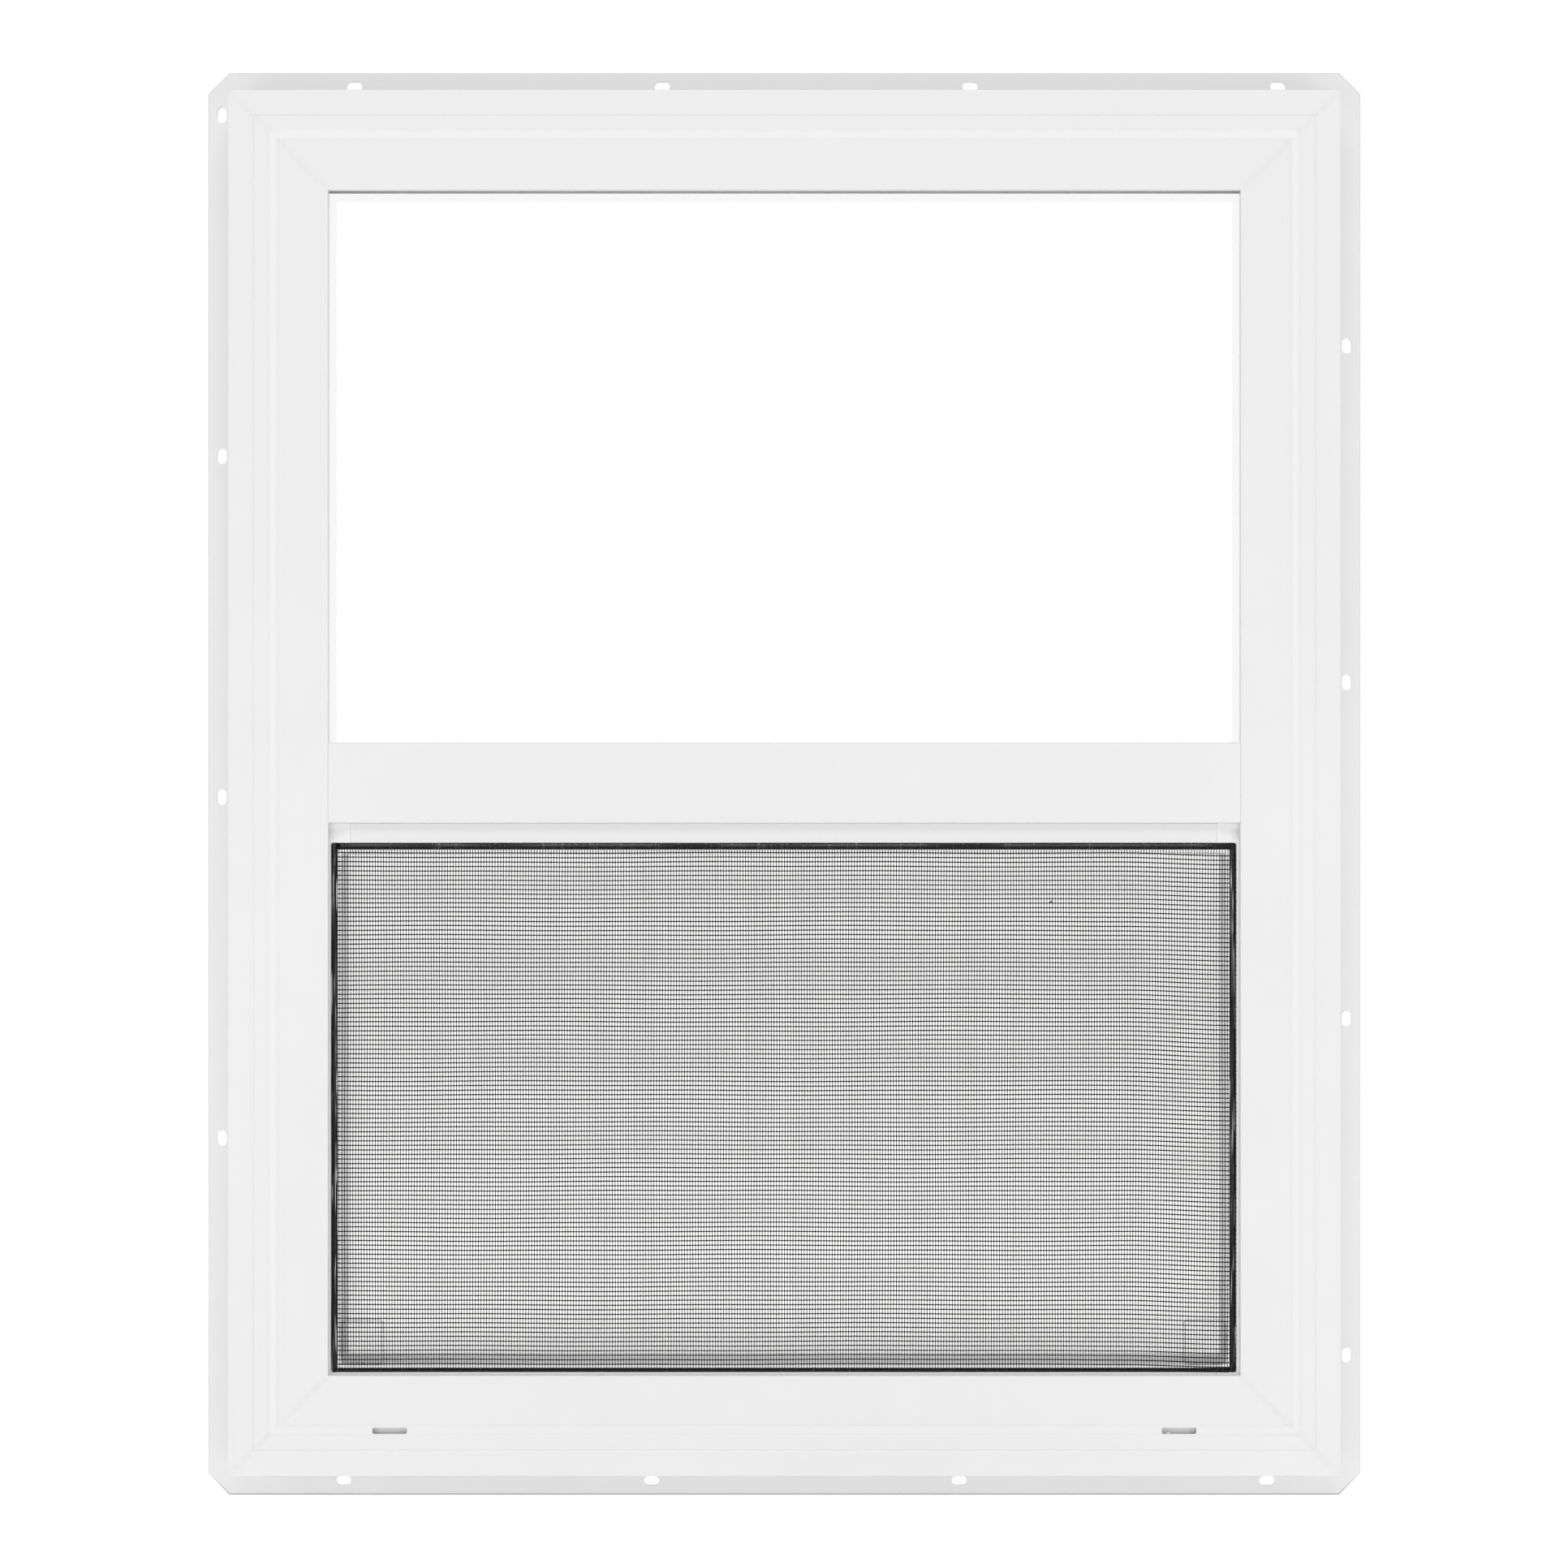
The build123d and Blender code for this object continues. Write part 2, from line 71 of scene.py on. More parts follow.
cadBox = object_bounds()
nodes = frame["nodes"]
scene = bpy.context.scene
mm = 0.001
print("loaded", len(nodes), "nodes")


def hexToLinear(text):
    # an sRGB hex colour as the linear values that a shader takes
    srgb = np.array([int(text[i:i + 2], 16) for i in (0, 2, 4)]) / 255
    linear = np.where(srgb <= 0.04045, srgb / 12.92, ((srgb + 0.055) / 1.055) ** 2.4)
    return (*linear.tolist(), 1.0)


def addNode(tree, kind, inputs=None, **settings):
    # one node with its settings; an input takes a socket to link, or a value to set
    node = tree.nodes.new(kind)
    for key, value in settings.items():
        setattr(node, key, value)
    for key, value in (inputs or {}).items():
        if isinstance(value, bpy.types.NodeSocket):
            tree.links.new(value, node.inputs[key])
        else:
            node.inputs[key].default_value = value
    return node


def startMaterial(name, constants):
    # a material whose even values stand on its shader's own sockets
    material = bpy.data.materials.new(name)
    material.use_nodes = True
    tree = material.node_tree
    shader = tree.nodes["Principled BSDF"]
    for key, value in constants.items():
        shader.inputs[key].default_value = value
    place = addNode(tree, "ShaderNodeTexCoord").outputs["Object"]
    return material, tree, shader, place


# Camera: straight on from outdoors, a little below the window's middle
view = {
    "imageSide": 1932,
    "pixelsPerMm": 2.248,  # at the exterior face
    "distance": 1580 * mm,  # from the exterior face
    "eyeDrop": 33 * mm,  # below the frame's middle
    "middlePixel": (966.4, 964.4),  # where the frame's middle shows
    "sensor": 36.0,
}
low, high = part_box("frame_jamb_left")
faceY = low.y
frameMiddle = (low.z + high.z) / 2


def placeCamera():
    field = view["imageSide"] / view["pixelsPerMm"] * mm
    centre = view["imageSide"] / 2
    lens = bpy.data.cameras.new("studioCamera")
    lens.sensor_width = view["sensor"]
    lens.lens = view["sensor"] * view["distance"] / field
    sideways = (centre - view["middlePixel"][0]) / view["pixelsPerMm"] * mm
    upwards = (view["middlePixel"][1] - centre) / view["pixelsPerMm"] * mm
    lens.shift_y = (view["eyeDrop"] + upwards) / field
    camera = bpy.data.objects.new("studioCamera", lens)
    camera.location = (sideways, faceY - view["distance"], frameMiddle - view["eyeDrop"])
    camera.rotation_euler = (np.pi / 2, 0, 0)
    scene.collection.objects.link(camera)
    scene.camera = camera


placeCamera()
print("camera placed")

# Studio: a white sweep that the camera and the glass see, weak light all round, and soft boxes
studio = {
    "ambient": 0.57,
    "floorColour": "F6F6F6",
    # floorGlow is painted light: the floor glows onto the window though it is no lamp
    "floorGlow": 0.34,  # the white table's own light, as it falls on the window
    "floorLift": 0.43,  # and as the camera sees it
    "floorHalf": 8.0,
    "floorGap": 0.3 * mm,
    "softBoxes": {  # place, width, height and watts
        "topBox": ((0.0, -1.6, 2.8), 1.6, 0.8, 19.5),
        "leftStrip": ((-0.9, -0.7, 0.2), 0.06, 0.4, 0.9),
        "rightStrip": ((0.9, -0.7, 0.2), 0.06, 0.4, 0.9),
    },
}


def seenRays(tree):
    # 1 for what the camera sees, straight or in glass and gloss; 0 for the light that falls on things
    rays = addNode(tree, "ShaderNodeLightPath").outputs
    mirrored = {0: rays["Is Camera Ray"], 1: rays["Is Glossy Ray"]}
    mirrored = addNode(tree, "ShaderNodeMath", mirrored, operation="MAXIMUM").outputs[0]
    through = {0: mirrored, 1: rays["Is Transmission Ray"]}
    return addNode(tree, "ShaderNodeMath", through, operation="MAXIMUM").outputs[0]


def lightStudio():
    world = bpy.data.worlds.new("whiteSweep")
    world.use_nodes = True
    tree = world.node_tree
    background = tree.nodes["Background"]
    background.inputs["Color"].default_value = hexToLinear("FFFFFF")
    levels = {0: seenRays(tree), 3: studio["ambient"], 4: 1.0}
    strength = addNode(tree, "ShaderNodeMapRange", levels)
    tree.links.new(strength.outputs[0], background.inputs["Strength"])
    scene.world = world
    aim = np.array((0.0, 0.0, frameMiddle))
    for name, (place, width, height, watts) in studio["softBoxes"].items():
        lamp = bpy.data.lights.new(name, "AREA")
        lamp.shape = "RECTANGLE"
        lamp.size = width
        lamp.size_y = height
        lamp.energy = watts
        box = bpy.data.objects.new(name, lamp)
        box.location = place
        direction = aim - np.array(place)
        flat = np.hypot(direction[0], direction[1])
        box.rotation_euler = (np.arctan2(flat, -direction[2]), 0, np.arctan2(-direction[0], direction[1]))
        scene.collection.objects.link(box)


def makeFloor():
    half = studio["floorHalf"]
    level = cadBox[0].z - studio["floorGap"]
    corners = [(x * half, y * half, level) for x, y in ((-1, -1), (1, -1), (1, 1), (-1, 1))]
    mesh = bpy.data.meshes.new("studioFloor")
    mesh.from_pydata(corners, [], [(0, 1, 2, 3)])
    floor = bpy.data.objects.new("studioFloor", mesh)
    scene.collection.objects.link(floor)
    material, tree, shader, place = startMaterial("matteFloorPaint", {"Roughness": 0.9})
    shader.inputs["Base Color"].default_value = hexToLinear(studio["floorColour"])
    shader.inputs["Emission Color"].default_value = hexToLinear("FFFFFF")
    # the floor glows: floorGlow is painted light that falls on the window; to the camera, floorLift keeps the
    # floor evenly white
    lift = {0: seenRays(tree), 3: studio["floorGlow"], 4: studio["floorLift"]}
    tree.links.new(addNode(tree, "ShaderNodeMapRange", lift).outputs[0], shader.inputs["Emission Strength"])
    mesh.materials.append(material)


lightStudio()
makeFloor()
print("studio lit")


def finishPiece(name, points, faces, material, replaced=()):
    # puts vertex and face arrays into a mesh that rides the window
    mesh = bpy.data.meshes.new(name)
    mesh.from_pydata(points.reshape(-1, 3).tolist(), [], faces)
    mesh.polygons.foreach_set("use_smooth", np.full(len(mesh.polygons), True))
    mesh.materials.append(material)
    piece = bpy.data.objects.new(name, mesh)
    scene.collection.objects.link(piece)
    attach(piece, "root")
    if replaced:
        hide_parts(*replaced)
    return piece


def tubeFaces(count, stations, sides):
    # quads round each of many like tubes, and a cap at both ends, as vertex numbers
    number = np.arange(count * stations * sides).reshape(count, stations, sides)
    turned = np.roll(number, -1, axis=2)
    quads = np.stack((number[:, :-1], turned[:, :-1], turned[:, 1:], number[:, 1:]), axis=-1)
    caps = np.concatenate((number[:, 0, ::-1], number[:, -1]))
    return quads.reshape(-1, 4).tolist() + caps.tolist()


def carryProfile(path, across, outwards, profile):
    # every profile point (a, b) at every path point: path + a * across + b * outwards
    return path[:, :, None] + profile[..., 0, None] * across + profile[..., 1, None] * outwards


# Materials

def insideOf(tree, place, outline):
    # how far a point lies inside a rectangle's upright sides and its level sides, seen from the front
    axes = addNode(tree, "ShaderNodeSeparateXYZ", {0: place}).outputs
    offMiddle = {0: axes["Z"], 1: outline["middle"]}
    offMiddle = addNode(tree, "ShaderNodeMath", offMiddle, operation="SUBTRACT").outputs[0]
    depths = []
    for value, half in ((axes["X"], outline["halfWidth"]), (offMiddle, outline["halfHeight"])):
        reach = addNode(tree, "ShaderNodeMath", {0: value}, operation="ABSOLUTE").outputs[0]
        depths.append(addNode(tree, "ShaderNodeMath", {0: half, 1: reach}, operation="SUBTRACT").outputs[0])
    return depths


def mitreWeld(tree, place, depths, seam):
    # a broken, wandering line along the mitres, where both depths are the same; none on the fin
    grit = {"Vector": place, "Scale": 1 / seam["grit"], "Detail": 2.0}
    grit = addNode(tree, "ShaderNodeTexNoise", grit).outputs[0]
    bend = addNode(tree, "ShaderNodeMapRange", {0: grit, 3: -seam["wander"], 4: seam["wander"]}).outputs[0]
    off = addNode(tree, "ShaderNodeMath", {0: depths[0], 1: depths[1]}, operation="SUBTRACT").outputs[0]
    off = addNode(tree, "ShaderNodeMath", {0: off, 1: bend}, operation="ADD").outputs[0]
    off = addNode(tree, "ShaderNodeMath", {0: off}, operation="ABSOLUTE").outputs[0]
    line = {0: off, 1: seam["width"] / 4, 2: seam["width"], 3: 1.0, 4: 0.0}
    line = addNode(tree, "ShaderNodeMapRange", line).outputs[0]
    least, (first, last) = seam["faintest"], seam["gaps"]
    gaps = addNode(tree, "ShaderNodeMapRange", {0: grit, 1: first, 2: last, 3: least}).outputs[0]
    line = addNode(tree, "ShaderNodeMath", {0: line, 1: gaps}, operation="MULTIPLY").outputs[0]
    onFrame = addNode(tree, "ShaderNodeMath", {0: depths[0], 1: 0.0}, operation="GREATER_THAN").outputs[0]
    return addNode(tree, "ShaderNodeMath", {0: line, 1: onFrame}, operation="MULTIPLY").outputs[0]


def paintedSlopeHighlight(tree, depths, slope):
    # 1 on the middle of the sloped step, 0 beside it: where a painted highlight lightens the step
    depth = addNode(tree, "ShaderNodeMath", {0: depths[0], 1: depths[1]}, operation="MINIMUM").outputs[0]
    off = addNode(tree, "ShaderNodeMath", {0: depth, 1: slope["middle"]}, operation="SUBTRACT").outputs[0]
    off = addNode(tree, "ShaderNodeMath", {0: off}, operation="ABSOLUTE").outputs[0]
    band = {0: off, 1: slope["even"] * slope["halfWidth"], 2: slope["halfWidth"], 3: 1.0, 4: 0.0}
    return addNode(tree, "ShaderNodeMapRange", band).outputs[0]


def paintedFinEdgeShade(tree, place, depths, fin):
    # 1 on the fin's outer edge, where painted shade darkens it as the edge turns from the light; stronger along
    # the bottom, where it stands for the contact shadow of the floor the window stands on
    inside = addNode(tree, "ShaderNodeMath", {0: depths[0], 1: depths[1]}, operation="MINIMUM").outputs[0]
    inside = addNode(tree, "ShaderNodeMath", {0: inside, 1: fin["width"]}, operation="ADD").outputs[0]
    clipped = addNode(tree, "ShaderNodeMath", {0: depths[0], 1: depths[1]}, operation="ADD").outputs[0]
    clipped = {0: clipped, 1: 2 * fin["width"] - fin["clip"]}
    clipped = addNode(tree, "ShaderNodeMath", clipped, operation="ADD").outputs[0]
    clipped = addNode(tree, "ShaderNodeMath", {0: clipped, 1: np.sqrt(0.5)}, operation="MULTIPLY").outputs[0]
    inside = addNode(tree, "ShaderNodeMath", {0: inside, 1: clipped}, operation="MINIMUM").outputs[0]
    line = {0: inside, 1: fin["edge"] * 0.5, 2: fin["edge"], 3: 1.0, 4: 0.0}
    line = addNode(tree, "ShaderNodeMapRange", line).outputs[0]
    height = addNode(tree, "ShaderNodeSeparateXYZ", {0: place}).outputs["Z"]
    low = {0: height, 1: cadBox[0].z, 2: cadBox[0].z + fin["clip"], 3: 1.0, 4: fin["sides"]}
    low = addNode(tree, "ShaderNodeMapRange", low).outputs[0]
    return addNode(tree, "ShaderNodeMath", {0: line, 1: low}, operation="MULTIPLY").outputs[0]


def extrudedVinyl(name, run, seam=None, slope=None, fin=None):
    # white PVC, extruded through a die: a satin skin with faint lines along the run and a slightly uneven
    # tone, a scraped weld where mitred ends were fused, a painted highlight on the sloped step, and painted shade
    # along the fin's outer edge
    tones = ("EFEFEF", "EBEBEB")
    lineWidth, lineLength, mottle = 1.3 * mm, 260 * mm, 55 * mm
    lineDepth = {"Strength": 0.25, "Distance": 0.05 * mm}
    material, tree, shader, place = startMaterial(name, {"Roughness": 0.30, "IOR": 1.53})
    scale = [1 / lineWidth] * 3
    scale["XYZ".index(run)] = 1 / lineLength
    stretched = addNode(tree, "ShaderNodeMapping", {"Vector": place, "Scale": scale}).outputs[0]
    lines = addNode(tree, "ShaderNodeTexNoise", {"Vector": stretched, "Scale": 1.0, "Detail": 2.0}).outputs[0]
    clouds = addNode(tree, "ShaderNodeTexNoise", {"Vector": place, "Scale": 1 / mottle, "Detail": 3.0}).outputs[0]
    marks = [(clouds, tones[1])]
    if seam:
        depths = insideOf(tree, place, seam)
        weld = mitreWeld(tree, place, depths, seam)
        marks.append((weld, seam["tone"]))
    # a painted highlight on the sloped step
    if slope:
        marks.append((paintedSlopeHighlight(tree, depths, slope), slope["tone"]))
    # painted shade along the fin's outer edge
    if fin:
        marks.append((paintedFinEdgeShade(tree, place, depths, fin), fin["tone"]))
    tone = hexToLinear(tones[0])
    for share, mark in marks:
        mix = {0: share, 6: tone, 7: hexToLinear(mark)}
        tone = addNode(tree, "ShaderNodeMix", mix, data_type="RGBA").outputs[2]
    bump = addNode(tree, "ShaderNodeBump", {"Height": lines, **lineDepth})
    tree.links.new(tone, shader.inputs["Base Color"])
    tree.links.new(bump.outputs[0], shader.inputs["Normal"])
    return material


def floatGlass():
    # clear soda-lime float glass: colourless in the middle, with a sharp reflection
    material, tree, shader, place = startMaterial(
        "floatGlass", {"Roughness": 0.0, "IOR": 1.52, "Transmission Weight": 1.0},
    )
    shader.inputs["Base Color"].default_value = hexToLinear("FFFFFF")
    return material


def grainedFinish(name, tones, grain, constants, bumpStrength, bumpDepth):
    # one skin with a grain: noise of the given size mixes two tones and lifts the surface a little
    material, tree, shader, place = startMaterial(name, constants)
    noise = addNode(tree, "ShaderNodeTexNoise", {"Vector": place, "Scale": 1 / grain, "Detail": 4.0}).outputs[0]
    mix = {0: noise, 6: hexToLinear(tones[0]), 7: hexToLinear(tones[1])}
    tone = addNode(tree, "ShaderNodeMix", mix, data_type="RGBA").outputs[2]
    bump = addNode(tree, "ShaderNodeBump", {"Height": noise, "Strength": bumpStrength, "Distance": bumpDepth})
    tree.links.new(tone, shader.inputs["Base Color"])
    tree.links.new(bump.outputs[0], shader.inputs["Normal"])
    return material


def paintedGlintCord(name, paintedGlintTone):
    # black vinyl cord, extruded and rolled in: nearly black and smooth; the long thin glints that the photo shows
    # on it are drawn as light streaks in its tone, since the lamps here don't give them
    streakWide, streakLong = 1.0 * mm, 26 * mm
    streakFrom, streakFull = 0.60, 0.70  # of the noise
    material, tree, shader, place = startMaterial(
        name, {"Roughness": 0.14, "IOR": 1.53, "Specular IOR Level": 0.25},
    )
    stretched = {"Vector": place, "Scale": (1 / streakWide, 1 / streakWide, 1 / streakLong)}
    stretched = addNode(tree, "ShaderNodeMapping", stretched).outputs[0]
    streak = {"Vector": stretched, "Scale": 1.0, "Detail": 1.0}
    streak = addNode(tree, "ShaderNodeTexNoise", streak).outputs[0]
    levels = {0: streak, 1: streakFrom, 2: streakFull, 3: 0.0, 4: 1.0}
    streak = addNode(tree, "ShaderNodeMapRange", levels).outputs[0]
    mix = {0: streak, 6: hexToLinear("0E0E0F"), 7: hexToLinear(paintedGlintTone)}
    tone = addNode(tree, "ShaderNodeMix", mix, data_type="RGBA").outputs[2]
    tree.links.new(tone, shader.inputs["Base Color"])
    return material


def rimmedTab():
    # clear flexible vinyl, moulded: a thin clear film inside a thicker, cloudy rim
    material, tree, shader, place = startMaterial(
        "mouldedClearVinyl", {"Roughness": 0.12, "IOR": 1.15, "Transmission Weight": 1.0},
    )
    film, cloudy, rimFrom, rimTo = "FCFCFC", "E4E4E4", 1.3 * mm, 1.7 * mm
    tabLow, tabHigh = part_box("screen_pull_tab_right")
    between = (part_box("screen_pull_tab_left")[0].x + tabHigh.x) / 2
    moved = {"Vector": place, "Location": (-between, 0, 0)}
    moved = addNode(tree, "ShaderNodeMapping", moved).outputs[0]
    axes = addNode(tree, "ShaderNodeSeparateXYZ", {0: moved}).outputs
    apart = addNode(tree, "ShaderNodeMath", {0: axes["X"]}, operation="ABSOLUTE").outputs[0]
    near = []
    for value, first, last in (
        (apart, tabLow.x - between, tabHigh.x - between), (axes["Z"], tabLow.z, tabHigh.z),
    ):
        off = {0: value, 1: (first + last) / 2}
        off = addNode(tree, "ShaderNodeMath", off, operation="SUBTRACT").outputs[0]
        off = addNode(tree, "ShaderNodeMath", {0: off}, operation="ABSOLUTE").outputs[0]
        depth = {0: (last - first) / 2, 1: off}
        near.append(addNode(tree, "ShaderNodeMath", depth, operation="SUBTRACT").outputs[0])
    edge = addNode(tree, "ShaderNodeMath", {0: near[0], 1: near[1]}, operation="MINIMUM").outputs[0]
    rim = addNode(tree, "ShaderNodeMapRange", {0: edge, 1: rimFrom, 2: rimTo, 3: 1.0, 4: 0.0}).outputs[0]
    mix = {0: rim, 6: hexToLinear(film), 7: hexToLinear(cloudy)}
    tone = addNode(tree, "ShaderNodeMix", mix, data_type="RGBA").outputs[2]
    tree.links.new(tone, shader.inputs["Base Color"])
    return material


# finEdge's tone is painted shade along the fin's outer edge, strongest along the bottom
finEdge = {"width": 16 * mm, "clip": 12 * mm, "edge": 0.6 * mm, "sides": 0.25, "tone": "8C8C8C"}
# stepSlopeHighlight's tone is a painted highlight on the step's slope, a shade lighter than the face
stepSlopeHighlight = {"middle": 24.6 * mm, "halfWidth": 2.4 * mm, "even": 0.3, "tone": "F1F1F1"}
frameSeam = {
    "middle": frameMiddle,
    "halfWidth": cadBox[1].x - finEdge["width"],
    "halfHeight": cadBox[1].z - frameMiddle - finEdge["width"],
    "width": 3.6 * mm,
    "wander": 1.6 * mm,
    "grit": 2.5 * mm,
    "gaps": (0.35, 0.65), "faintest": 0.25,  # where the grit breaks the line, and what is left of it there
    "tone": "E8E8E8",
}
sashLow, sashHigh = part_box("sash_stile_left")
sashSeam = {
    **frameSeam,
    "middle": (sashLow.z + sashHigh.z) / 2,
    "halfWidth": -sashLow.x,
    "halfHeight": (sashHigh.z - sashLow.z) / 2,
}
frameUpright = extrudedVinyl("extrudedVinylUpright", "Z", frameSeam, stepSlopeHighlight, finEdge)
frameLevel = extrudedVinyl("extrudedVinylLevel", "X", frameSeam, stepSlopeHighlight, finEdge)
sashUpright = extrudedVinyl("sashVinylUpright", "Z", sashSeam)
sashLevel = extrudedVinyl("sashVinylLevel", "X", sashSeam)
plainLevel = extrudedVinyl("railVinylLevel", "X")
plainUpright = extrudedVinyl("beadVinylUpright", "Z")
clearGlass = floatGlass()
millAluminium = grainedFinish(
    # rolled aluminium strip, unpolished: soft grey gleam
    "millAluminium", ("C9CACC", "BEBFC1"), 0.8 * mm, {"Metallic": 1.0, "Roughness": 0.38}, 0.1, 0.02 * mm)
castEnamel = grainedFinish(
    # die-cast zinc under white enamel: smooth, with a faint orange peel
    "castZincEnamel", ("EEEEED", "E9E9E8"), 1.6 * mm, {"Roughness": 0.28, "IOR": 1.5}, 0.1, 0.05 * mm)
brushPile = grainedFinish(
    # grey polypropylene pile: short fibres that drink the light
    "polypropylenePile", ("8C8C8C", "5E5E5E"), 0.5 * mm, {"Roughness": 0.95, "Sheen Weight": 0.4}, 0.9, 0.3 * mm)
bakedEnamel = grainedFinish(
    # roll-formed aluminium strip with baked white enamel: flat satin
    "bakedEnamelAluminium", ("ECECEC", "E9E9E9"), 6 * mm, {"Roughness": 0.4, "IOR": 1.5}, 0.08, 0.03 * mm)
mouldedKey = grainedFinish(
    # moulded white nylon: a little glossier than the bars
    "mouldedNylon", ("F1F1F1", "EEEEEE"), 3 * mm, {"Roughness": 0.32, "IOR": 1.53}, 0.08, 0.03 * mm)
# painted glints: light streaks in the cords' tone, dimmer on the level cords
ribbedCord = paintedGlintCord("rolledBlackVinyl", "B4B4B4")
pressedCord = paintedGlintCord("pressedBlackVinyl", "545455")  # the level cords lie flatter and shine less
coatedFibre = grainedFinish(
    # glass-fibre yarn dipped in black vinyl: soft gloss, nearly black
    "coatedGlassFibre", ("0A0A0B", "121213"), 0.6 * mm,
    {"Roughness": 0.5, "IOR": 1.5, "Specular IOR Level": 0.25}, 0.2, 0.04 * mm)
clearTab = rimmedTab()

finishOfNode = {
    "frame_head": frameLevel, "frame_sill": frameLevel,
    "frame_jamb_left": frameUpright, "frame_jamb_right": frameUpright,
    "sash_top_rail": sashLevel, "sash_bottom_rail": sashLevel,
    "sash_stile_left": sashUpright, "sash_stile_right": sashUpright,
    "meeting_rail": plainLevel, "sash_lift": plainLevel,
}
finishOfFamily = [  # part of a node's name, and its finish
    ("_glass_spacer", millAluminium), ("_glass_", clearGlass),
    ("_bead_head", plainLevel), ("_bead_sill", plainLevel), ("_bead_", plainUpright),
    ("_lock_", castEnamel), ("weatherstrip", brushPile),
    ("screen_bar", bakedEnamel), ("screen_corner", mouldedKey), ("screen_pull_tab", clearTab),
    ("screen_spline", ribbedCord), ("screen_mesh", coatedFibre),
]
for name, node in nodes.items():
    finish = finishOfNode.get(name) or next(m for part, m in finishOfFamily if part in name)
    node.data.materials.clear()
    node.data.materials.append(finish)
print("finishes given to", len(nodes), "nodes")

# Insect mesh: black coated threads that the coating glues at each crossing; their ends lie over the cords
weave = {
    "levelPitch": 2.510 * mm, "levelWide": 0.50 * mm, "levelThick": 0.30 * mm,
    "uprightPitch": 1.5315 * mm, "uprightWide": 0.36 * mm, "uprightThick": 0.26 * mm,
    "knotWide": 1.50 * mm, "knotHigh": 1.36 * mm, "knotThick": 0.44 * mm,
    "levelStations": 60, "uprightStations": 24,
    "firstRow": -0.5 * mm,  # from the mesh's lower edge
    "pulledDrop": 1.8 * mm, "pulledFrom": 186 * mm, "pulledOver": 60 * mm,  # the rows' drop at the right
    "wander": 0.18 * mm,
    "rowWaves": ((1.0, 41 * mm, 0.07), (0.6, 17 * mm, -0.13)),  # share, length, and shift from row to row
    "columnWave": (37 * mm, 0.05),  # length, and shift from column to column
    "hemLow": 1.6 * mm, "hemHigh": 2.5 * mm, "hemLift": 0.36 * mm,  # the ends over the cords, and how far in front
    "hemRows": (-1.2 * mm, 0.5 * mm, 1.8 * mm),  # crowded rows below and above the mesh
    "bend": 1 * mm, "behind": 0.1 * mm,  # where an upright thread starts to rise, and how far it lies behind
    "stub": 0.15 * mm, "stubStep": 2.7,  # cut thread ends that show past the right cord, uneven in length
}
meshLow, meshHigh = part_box("screen_mesh")
meshY = (meshLow.y + meshHigh.y) / 2
upward, sideward, outdoors = np.eye(3)[2], np.eye(3)[0], -np.eye(3)[1]


def rowDrop(x, row):
    # how far a level thread leaves its straight line: pulled down at the right, and a slow wander that
    # neighbouring threads share
    t = np.clip((x - weave["pulledFrom"]) / weave["pulledOver"], 0, 1)
    pulled = -weave["pulledDrop"] * t * t * (3 - 2 * t)
    wave = sum(share * np.sin(x / length + row * shift) for share, length, shift in weave["rowWaves"])
    return pulled + weave["wander"] * wave


def columnPlace(column, z):
    # where an upright thread lies at a height: an even pitch and a slow wander
    length, shift = weave["columnWave"]
    wave = np.sin(z / length + column * shift)
    return meshLow.x + (column + 0.5) * weave["uprightPitch"] + weave["wander"] * wave


def threadProfile(wide, thick):
    # a flat four-sided thread
    return np.array(((wide / 2, 0), (0, thick / 2), (-wide / 2, 0), (0, -thick / 2)))


def rowHeights():
    # the height of each level thread at the middle of the window
    return np.arange(meshLow.z + weave["firstRow"], meshHigh.z, weave["levelPitch"])


def columnNumbers():
    return np.arange(int((meshHigh.x - meshLow.x) / weave["uprightPitch"]))


def levelThreads():
    # thread i at height z(i) + drop(x, i), carried along x; the crowded rows lie on the cords, undropped
    heights = rowHeights()
    extra = np.array(weave["hemRows"])
    onCord = np.where(extra > 0, meshHigh.z + extra, meshLow.z + extra)
    row = np.arange(len(heights))[:, None]
    x = np.linspace(meshLow.x, meshHigh.x, weave["levelStations"])[None]
    z = np.concatenate((heights[:, None] + rowDrop(x, row), np.repeat(onCord[:, None], x.size, axis=1)))
    y = np.full_like(z, meshY)
    y[len(heights):] -= weave["hemLift"]
    path = np.stack((np.broadcast_to(x, z.shape), y, z), axis=-1)
    profile = threadProfile(weave["levelWide"], weave["levelThick"])
    points = carryProfile(path, upward, outdoors, profile)
    faces = tubeFaces(*points.shape[:3])
    return finishPiece("meshLevelThreads", points, faces, coatedFibre, ["screen_mesh"])


def uprightThreads():
    # thread j at its place x(j, z), carried along z and over the cord at both ends
    column = columnNumbers()[:, None]
    inner = np.linspace(meshLow.z + weave["bend"], meshHigh.z - weave["bend"], weave["uprightStations"])
    ends = (meshLow.z - weave["hemLow"], meshLow.z), (meshHigh.z, meshHigh.z + weave["hemHigh"])
    z = np.concatenate((ends[0], inner, ends[1]))[None]
    x = columnPlace(column, z)
    onCord = (z <= meshLow.z) | (z >= meshHigh.z)
    y = np.broadcast_to(meshY + weave["behind"] - weave["hemLift"] * onCord, x.shape)
    path = np.stack((x, y, np.broadcast_to(z, x.shape)), axis=-1)
    profile = threadProfile(weave["uprightWide"], weave["uprightThick"])
    points = carryProfile(path, sideward, -outdoors, profile)
    faces = tubeFaces(*points.shape[:3])
    return finishPiece("meshUprightThreads", points, faces, coatedFibre, ["screen_mesh"])


